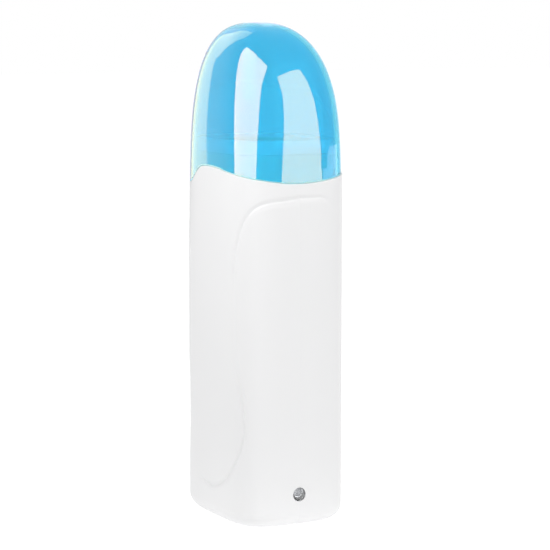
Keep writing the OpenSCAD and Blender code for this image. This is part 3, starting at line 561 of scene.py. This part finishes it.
def neck_ring_piece():
    """Ring on the neck: skirt, rounded rim and the mouth of the well."""
    cols = 360
    t = even_angles(0, 2 * math.pi, cols + 1)[:-1]
    well_front = -(B - NECK_IN) + LINER_GAP + FRONT_GAP + LINER_T
    well_back = B - WALL - HEATER_SPACE - LINER_T
    w = 2 * (A - NECK_IN - LINER_GAP - LINER_T) + 2 * MOUTH_EASE
    d = well_back - well_front + 2 * MOUTH_EASE

    def ring(inset, z):
        x, y = outline(t, A - inset, B - inset)
        return np.stack([x, y, np.full_like(t, z)], 1)

    def mouth(grow, z):
        p = rounded_rectangle(t, w + 2 * grow, d + 2 * grow, WELL_R + MOUTH_EASE + grow,
                              (well_front + well_back) / 2)
        return np.column_stack([p, np.full(len(t), z)])

    under, skirt = NECK_TOP - RING_T, NECK_OUT + RING_WALL
    rows = [ring(NECK_OUT + 0.1, RING_Z), ring(NECK_OUT, RING_Z + CHAMFER)]
    for th in quarter(6):
        rows.append(ring(NECK_OUT + RIM_R * (1 - math.cos(th)),
                         NECK_TOP - RIM_R + RIM_R * math.sin(th)))
    for th in quarter(5):
        rows.append(mouth(MOUTH_R * (1 - math.sin(th)), NECK_TOP - MOUTH_R * (1 - math.cos(th))))
    rows += [mouth(0, under), ring(skirt, under), ring(skirt, RING_Z)]
    faces = grid_faces(len(rows), cols, True, True)
    ob = outward(mesh_object("neck_ring_moulding", np.vstack(rows), faces))
    shade(ob, 35)
    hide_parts("neck_ring")
    return ob


# ---- pilot lamp -------------------------------------------------------------
def lamp_pieces():
    """Clear lens and, inside it, the lead frame with its cup."""
    r, x = LAMP_D / 2, LAMP_BACK
    at = np.array([x, 0, LAMP_Z])
    profile = [(0, 0), (r + 0.4, 0), (r + 0.4, 1.0), (r + 0.05, 1.0), (r, 1.05)]
    profile += [(r * math.cos(a), LAMP_L - r + r * math.sin(a))
                for a in np.radians(np.linspace(0, 90, 19))[:-1]]
    verts, faces = revolve(profile + [(0, LAMP_L)], 72)
    lens = outward(mesh_object("pilot_lamp_lens", verts + at, faces))
    shade(lens, 35)
    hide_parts("pilot_lamp")
    # lead frame: two posts, a cup on one and a flag on the other, and the legs
    thick = (LAMP_Z - LEG_HALF, LAMP_Z + LEG_HALF)
    cup, cup_faces = revolve([(0, 3.9), (0.55, 3.9), (0.95, 5.0), (0.8, 5.0), (0.45, 4.3),
                              (0, 4.3)], 32)
    parts = [(cup + at + [0, 0.55, 0], cup_faces),
             box_data((x + 1.2, x + 3.9), (0.25, 0.95), thick),
             box_data((x + 1.2, x + 4.6), (-1.4, -0.75), thick),
             box_data((x + 3.7, x + 4.7), (-1.4, -0.35), thick)]
    for y in (-LEG_Y, LEG_Y):
        parts.append(box_data((BOARD_X - 1, x + 1.2), (y - LEG_HALF, y + LEG_HALF), thick))
    frame_ob = joined("pilot_lamp_frame", parts)
    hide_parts("pilot_lamp")
    return lens, frame_ob


# ---- build ------------------------------------------------------------------
front = shell(True)
rear = shell(False)
front_in = shell_inside(True)
rear_in = shell_inside(False)
cap = cap_piece()
ring = neck_ring_piece()
lens, lens_frame = lamp_pieces()


# ---- materials --------------------------------------------------------------
BROAD, ROUGH_LOW, ROUGH_HIGH = 60, 0.85, 1.15   # coarseness of the tint, spread of roughness


def new_node(nt, kind, **inputs):
    """Shader node with constants on its inputs."""
    made = nt.nodes.new("ShaderNode" + kind)
    for key, value in inputs.items():
        made.inputs[key.replace("_", " ")].default_value = value
    return made


def material(name, color, rough, scale, bump=0.0, tint=0.04, metal=0.0, detail=3.0, stretch=None,
             **sockets):
    """Moulded, rolled or fired surface: fine grain in colour, roughness and height."""
    mat = bpy.data.materials.new(name)
    mat.use_nodes = True
    nt = mat.node_tree
    bsdf = nt.nodes["Principled BSDF"]
    link = nt.links.new
    src = new_node(nt, "TexCoord").outputs["Object"]
    if stretch:
        mapping = new_node(nt, "Mapping", Scale=stretch)
        link(src, mapping.inputs["Vector"])
        src = mapping.outputs["Vector"]
    fine = new_node(nt, "TexNoise", Scale=scale, Detail=detail)
    link(src, fine.inputs["Vector"])
    broad = new_node(nt, "TexNoise", Scale=scale / BROAD)
    link(src, broad.inputs["Vector"])
    tone = new_node(nt, "Mix")
    tone.data_type = "RGBA"
    tone.inputs["A"].default_value = [c * (1 - tint) for c in color] + [1]
    tone.inputs["B"].default_value = [min(1, c * (1 + tint * 0.5)) for c in color] + [1]
    link(broad.outputs["Fac"], tone.inputs["Factor"])
    link(tone.outputs["Result"], bsdf.inputs["Base Color"])
    spread = new_node(nt, "MapRange", To_Min=rough * ROUGH_LOW, To_Max=min(1, rough * ROUGH_HIGH))
    link(fine.outputs["Fac"], spread.inputs["Value"])
    link(spread.outputs["Result"], bsdf.inputs["Roughness"])
    if bump:
        grain = new_node(nt, "Bump", Strength=1.0, Distance=bump * MM)
        link(fine.outputs["Fac"], grain.inputs["Height"])
        link(grain.outputs["Normal"], bsdf.inputs["Normal"])
    bsdf.inputs["Metallic"].default_value = metal
    for key, value in sockets.items():
        bsdf.inputs[key.replace("_", " ")].default_value = value
    return mat


WHITE = material("moulded_white", (0.86, 0.86, 0.865), 0.38, 2200, bump=0.004, tint=0.012,
                 Specular_IOR_Level=0.35)
# painted light: the neck ring's white is brighter than the housing's and has a violet cast, for the
# light that reaches the neck through the cap
NECK_LIT_WHITE = material("neck_white", (0.95, 0.905, 0.975), 0.4, 2200, bump=0.004, tint=0.012,
                Specular_IOR_Level=0.35)
CLEAR_BLUE = material("clear_blue", (0.09, 0.67, 0.90), 0.03, 900, tint=0.015,
                      Transmission_Weight=0.9, IOR=1.49)
# paler, less clear copy of the cap's blue for its edge band: painted light
EDGE_LIGHT_BLUE = material("clear_blue_edge_painted_light", (0.62, 0.95, 0.97), 0.3, 900, tint=0.02,
                    Transmission_Weight=0.3, IOR=1.49)
LINER = material("liner_pale", (0.84, 0.85, 0.85), 0.5, 1800, bump=0.01)
ALU = material("rolled_aluminium", (0.72, 0.73, 0.74), 0.34, 1500, bump=0.006, metal=1.0,
               stretch=(6, 6, 0.4))
STEEL = material("plated_steel", (0.62, 0.63, 0.65), 0.28, 1700, bump=0.004, metal=1.0,
                 stretch=(1, 1, 5))
BRASS = material("tinned_brass", (0.78, 0.68, 0.42), 0.32, 1700, bump=0.004, metal=1.0)
CERAMIC = material("fired_ceramic", (0.30, 0.28, 0.27), 0.7, 1400, bump=0.03, tint=0.15)
FILM = material("amber_film", (0.66, 0.36, 0.08), 0.2, 900, bump=0.003, tint=0.1, Coat_Weight=0.4)
FELT = material("felt_pad", (0.78, 0.74, 0.64), 0.95, 1900, bump=0.12, tint=0.2, detail=8.0,
                stretch=(1, 4, 1))
BLACK = material("black_plastic", (0.035, 0.035, 0.038), 0.45, 1600, bump=0.01, tint=0.1)
BOARD = material("board_green", (0.03, 0.20, 0.10), 0.35, 1300, bump=0.01, tint=0.2,
                 stretch=(1, 3, 3))
TAN = material("part_tan", (0.62, 0.46, 0.28), 0.4, 1500, bump=0.01, tint=0.12)
RUBBER = material("foot_rubber", (0.05, 0.05, 0.055), 0.8, 1500, bump=0.02, tint=0.15)
LENS = material("lamp_clear", (0.86, 0.87, 0.88), 0.06, 1200, tint=0.02,
                Transmission_Weight=0.78, IOR=1.5)
BROWN = material("sleeve_brown", (0.25, 0.09, 0.03), 0.5, 1500, bump=0.01, tint=0.08)
BLUE = material("sleeve_blue", (0.03, 0.12, 0.5), 0.5, 1500, bump=0.01, tint=0.08)
PALE = material("sleeve_white", (0.7, 0.7, 0.66), 0.5, 1500, bump=0.01, tint=0.08)
RED = material("sleeve_red", (0.5, 0.02, 0.02), 0.5, 1500, bump=0.01, tint=0.08)


def dress(ob, mat):
    ob.data.materials.clear()
    ob.data.materials.append(mat)


for ob in (front, rear, front_in, rear_in):
    dress(ob, WHITE)
dress(cap, CLEAR_BLUE)
# painted light: the cap's edge band takes a paler, less clear copy of its blue, for the light that
# the edge of a clear moulding gathers
cap.data.materials.append(EDGE_LIGHT_BLUE)
for face in cap.data.polygons:
    x, y, z = (c / MM for c in face.center)
    if z < wave(x, y) + EDGE_GAP + LIT_EDGE_BAND:
        face.material_index = 1
dress(ring, NECK_LIT_WHITE)
dress(lens, LENS)
dress(lens_frame, STEEL)

CAD_LOOKS = {
    "well_liner": LINER, "heat_plate": ALU, "plate_rivets": STEEL, "ptc_stones": CERAMIC,
    "electrode_plates": BRASS, "heater_film": FILM, "heater_bracket": STEEL,
    "bracket_screws": STEEL, "insulation_pad": FELT, "thermostat": BLACK, "thermal_fuse": BRASS,
    "leaf_spring": STEEL, "lamp_spacer": BLACK, "lamp_board": BOARD, "board_parts": TAN,
    "inlet_body": BLACK, "inlet_pins": BRASS, "live_lead": BROWN, "neutral_lead": BLUE,
    "heater_links": PALE, "lamp_leads": RED, "shell_screws": STEEL, "base_plate": WHITE,
    "base_screws": STEEL, "base_feet": RUBBER,
}
for node, mat in CAD_LOOKS.items():
    ob = frame["nodes"][node]
    for s in ob.material_slots:
        s.material = mat
    if not ob.material_slots:
        ob.data.materials.append(mat)


# ---- stage: floor and studio ------------------------------------------------
FLOOR_HALF, FLOOR_GREY, FLOOR_SEEN = 6, 0.6, 0.7
FLOOR_NEAR, FLOOR_FAR, POOL_IN, POOL_OUT = 0.5, 0.24, 0.03, 0.09
SKY, NEAR_SIDE, NEAR_DIRECTION = 0.56, 1.15, (0.88, -0.45, 0.12)
WHITE_LIGHT = (1, 1, 1)


def seen_directly(nt):
    """1 on camera, glossy and transmission rays, which see the plain white of the stage."""
    path = new_node(nt, "LightPath")
    out = path.outputs["Is Camera Ray"]
    for other in ("Is Glossy Ray", "Is Transmission Ray"):
        both = new_node(nt, "Math")
        both.operation = "MAXIMUM"
        nt.links.new(out, both.inputs[0])
        nt.links.new(path.outputs[other], both.inputs[1])
        out = both.outputs[0]
    return out


def stage_material():
    """White floor: glows a little more round the object, where the studio's light gathers."""
    mat = bpy.data.materials.new("stage_white")
    mat.use_nodes = True
    nt = mat.node_tree
    link = nt.links.new
    bsdf = nt.nodes["Principled BSDF"]
    bsdf.inputs["Base Color"].default_value = (FLOOR_GREY, FLOOR_GREY, FLOOR_GREY, 1)
    bsdf.inputs["Roughness"].default_value = 0.9
    bsdf.inputs["Specular IOR Level"].default_value = 0.0
    bsdf.inputs["Emission Color"].default_value = (*WHITE_LIGHT, 1)
    seen = seen_directly(nt)
    reach = new_node(nt, "VectorMath")
    reach.operation = "LENGTH"
    link(new_node(nt, "TexCoord").outputs["Object"], reach.inputs[0])
    pool = new_node(nt, "MapRange", From_Min=POOL_IN, From_Max=POOL_OUT,
                    To_Min=FLOOR_NEAR, To_Max=FLOOR_FAR)
    link(reach.outputs["Value"], pool.inputs["Value"])
    level = new_node(nt, "Mix", B=FLOOR_SEEN)
    link(seen, level.inputs["Factor"])
    link(pool.outputs["Result"], level.inputs["A"])
    link(level.outputs["Result"], bsdf.inputs["Emission Strength"])
    return mat


corners = [(x * FLOOR_HALF, y * FLOOR_HALF, 0) for x, y in ((-1, -1), (1, -1), (1, 1), (-1, 1))]
floor = new_object("floor", corners, [(0, 1, 2, 3)])
floor.data.materials.append(stage_material())

world = bpy.data.worlds.new("studio")
bpy.context.scene.world = world
world.use_nodes = True
nt = world.node_tree
link = nt.links.new
background = nt.nodes["Background"]
background.inputs["Color"].default_value = (*WHITE_LIGHT, 1)
# rays that came in through the cap or the lamp find the studio brighter on the near side
near = new_node(nt, "VectorMath")
near.operation = "DOT_PRODUCT"
near.inputs[1].default_value = NEAR_DIRECTION
link(new_node(nt, "TexCoord").outputs["Generated"], near.inputs[0])
side = new_node(nt, "MapRange", To_Max=NEAR_SIDE)
link(near.outputs["Value"], side.inputs["Value"])
gain = new_node(nt, "Math")
gain.operation = "MULTIPLY"
link(side.outputs["Result"], gain.inputs[0])
link(new_node(nt, "LightPath").outputs["Is Transmission Ray"], gain.inputs[1])
level = new_node(nt, "MapRange", To_Min=SKY, To_Max=1.0)
link(seen_directly(nt), level.inputs["Value"])
total = new_node(nt, "Math")
total.operation = "ADD"
link(level.outputs["Result"], total.inputs[0])
link(gain.outputs[0], total.inputs[1])
link(total.outputs[0], background.inputs["Strength"])


# ---- stage: lamps -----------------------------------------------------------
def direction(az, el):
    """Unit vector: azimuth from the front towards the lamp's side, elevation up, in degrees."""
    a, e = math.radians(az), math.radians(el)
    return Vector((math.sin(a) * math.cos(e), -math.cos(a) * math.cos(e), math.sin(e)))


def area(name, az, el, dist, size, watts, target=(0, 0, 0.12)):
    """Square lamp that lights the part and shows in no reflection."""
    lamp = bpy.data.lights.new(name, "AREA")
    lamp.shape, lamp.size, lamp.size_y, lamp.energy = "RECTANGLE", size, size, watts
    ob = bpy.data.objects.new(name, lamp)
    bpy.context.collection.objects.link(ob)
    d = direction(az, el)
    ob.location = Vector(target) + d * dist
    ob.rotation_euler = d.to_track_quat("Z", "Y").to_euler()
    ob.visible_glossy = False


# soft light from above the near corner, and a weaker one from behind the lamp's side
area("key_soft", 17, 35, 0.3, 0.22, 0.60, target=(0, 0, 0.16))
area("fill_soft", 122, 22, 1.0, 0.8, 3.7)

# ---- stage: panels that the cap mirrors -------------------------------------
shiny = bpy.data.collections.new("mirrors_panels")
shiny.objects.link(cap)
PANEL_DIST = 1.2             # metres


def glowing_sheet(name, verts, color, strength):
    """Glowing sheet of the stage that shows in reflections only."""
    ob = new_object(name, verts, [tuple(range(len(verts)))])
    mat = bpy.data.materials.new(name)
    mat.use_nodes = True
    nodes = mat.node_tree.nodes
    nodes.remove(nodes["Principled BSDF"])
    glow = new_node(mat.node_tree, "Emission", Color=(*color, 1), Strength=strength)
    mat.node_tree.links.new(glow.outputs[0], nodes["Material Output"].inputs["Surface"])
    ob.data.materials.append(mat)
    ob.visible_camera = ob.visible_diffuse = ob.visible_transmission = ob.visible_shadow = False
    return ob


def panel(name, az, centre, shape, color, strength):
    """Panel square to the azimuth az as seen from the centre, in millimetres; it lights the cap
    alone. Its shape is given in shares of its distance, sideways and up."""
    d = direction(az, 0)
    side = Vector((math.cos(math.radians(az)), math.sin(math.radians(az)), 0))
    verts = [tuple(Vector(centre) * MM + (d + side * u + Vector((0, 0, v))) * PANEL_DIST)
             for u, v in shape]
    glowing_sheet(name, verts, color, strength).light_linking.receiver_collection = shiny


def upright_panel(name, az, centre, u0, u1, v0, v1, color, strength):
    """Rectangular panel."""
    panel(name, az, centre, [(u0, v0), (u1, v0), (u1, v1), (u0, v1)], color, strength)


LOW, HIGH = -0.12, 2.6
FRONT_SHAPE = [(-1.24, LOW), (0.74, LOW), (0.84, 0.14), (0.93, 0.37), (1.19, 0.79), (2.14, 1.72),
               (2.75, 2.63), (0.7, 1.68), (-0.16, 1.6), (-0.7, 1.62), (-0.966, 1.25), (-1.07, 0.78)]
SIDE_SHAPE = [(-0.087, LOW), (0.178, LOW), (0.158, 0.1), (0.14, 0.32), (0.123, 0.655),
              (0.105, 0.655), (0.05, 0.6), (-0.158, 0.56), (-0.12, 0.4), (-0.09, 0.25),
              (-0.087, 0.09)]
LEFT_IN, LEFT_OUT = 0.14, -0.6
LEFT_SHAPE = [(LEFT_IN, LOW), (0.591, LOW), (0.592, 0.0), (0.585, 0.082), (0.572, 0.144),
              (0.545, 0.218), (0.518, 0.274), (0.505, 0.383), (0.66, 0.716), (1.02, 1.877),
              (0.6, HIGH), (LEFT_IN, HIGH)]
LEFT_AZ, LEFT_CENTRE = -95, (-5, -22, 165)

panel("panel_front", 20, (22, -17, 165), FRONT_SHAPE, (1.0, 0.61, 0.3), 15.8)
panel("panel_side", 118, (28, 1, 160), SIDE_SHAPE, (1.0, 0.66, 0.25), 12.0)
panel("panel_left", LEFT_AZ, LEFT_CENTRE, LEFT_SHAPE, (1.0, 0.84, 0.52), 3.6)
upright_panel("panel_far_left", LEFT_AZ, LEFT_CENTRE, LEFT_OUT, LEFT_IN, LOW, HIGH,
              (1.0, 0.9, 1.0), 1.4)

# ---- stage: sheets that keep the panels out of the cap's far rims -----------
SHEET_GAP = 0.6              # how far the sheets keep from the cap
CROWN_Y, SHOULDER_Y, FLANK_Y = -6, 11, 14.5
CROWN_Z = 190
RIM_Z = np.append(np.linspace(150, CROWN_Z, 21),
                  CROWN_Z + (CAP_TOP - CROWN_Z) * np.sin(np.linspace(0.06, math.pi / 2, 24)))


def cap_x(y, z):
    """Half width of the cap at the depth y and the height z."""
    u = min(1.0, max(0.0, (z - DOME_Z) / (CAP_TOP - DOME_Z)))
    half = max(1e-6, 1 - u ** DOME_P) ** (1 / DOME_Q)
    n = SQUARE + (CROWN_N - SQUARE) * u
    return A * half * max(0.0, 1 - (abs(y + LEAN * u ** LEAN_POW) / (B * half)) ** n) ** (1 / n)


def rim(y, low=0, high=math.inf, least=0):
    """Points just outside the cap's right side at the depth y, from low to high."""
    return [(cap_x(y, z) + SHEET_GAP, z + SHEET_GAP) for z in RIM_Z
            if low < z < high and cap_x(y, z) >= least]


def sheet(name, y, points):
    """Sheet at the depth y beside the cap, as bright as the studio."""
    glowing_sheet(name, [(x * MM, y * MM, z * MM) for x, z in points], WHITE_LIGHT, 1.0)


def strip(points, width):
    """The points, and back along the same points moved out by the width."""
    return points + [(x + width, z) for x, z in points[::-1]]


crown = rim(CROWN_Y)
sheet("crown_sheet", CROWN_Y, [(-50, 150)] + [(-x, z) for x, z in crown]
      + [p for p in crown[::-1] if p[0] < 22] + [(22, 196), (45, 196), (45, 225), (-50, 225)])
flank_foot = [(cap_x(FLANK_Y, z) + 2.3, z) for z in (141, 146)]
sheet("flank_sheet", FLANK_Y, strip(flank_foot + rim(FLANK_Y, high=178), 5.0))
sheet("shoulder_sheet", SHOULDER_Y, strip(rim(SHOULDER_Y, low=174, least=8), 6.0))
upright_panel("panel_low_right", 152, (29, 13, 145), -0.42, 0.6, -0.115, -0.006,
              (1.0, 0.97, 1.0), 3.8)

# ---- camera: placed and framed as the photograph's --------------------------
CAM_AZ, CAM_D, CAM_Z, CAM_TILT = 63.006, 850.4, 200.46, 6.926
FOCAL_PX, SHIFT_PX, PHOTO_PX, SENSOR = 2143.6, 10.539, 550.0, 36.0
cam_data = bpy.data.cameras.new("camera")
cam = bpy.data.objects.new("camera", cam_data)
bpy.context.collection.objects.link(cam)
bpy.context.scene.camera = cam
a, tilt = math.radians(CAM_AZ), math.radians(CAM_TILT)
cam.location = Vector((math.sin(a) * CAM_D, -math.cos(a) * CAM_D, CAM_Z)) * MM
look = Vector((-math.sin(a) * math.cos(tilt), math.cos(a) * math.cos(tilt), -math.sin(tilt)))
cam.rotation_euler = look.to_track_quat("-Z", "Y").to_euler()
cam_data.sensor_width = SENSOR
cam_data.lens = FOCAL_PX * SENSOR / PHOTO_PX
cam_data.shift_x = SHIFT_PX / PHOTO_PX
cam_data.clip_start = 0.05

bpy.context.scene.view_settings.view_transform = "Standard"
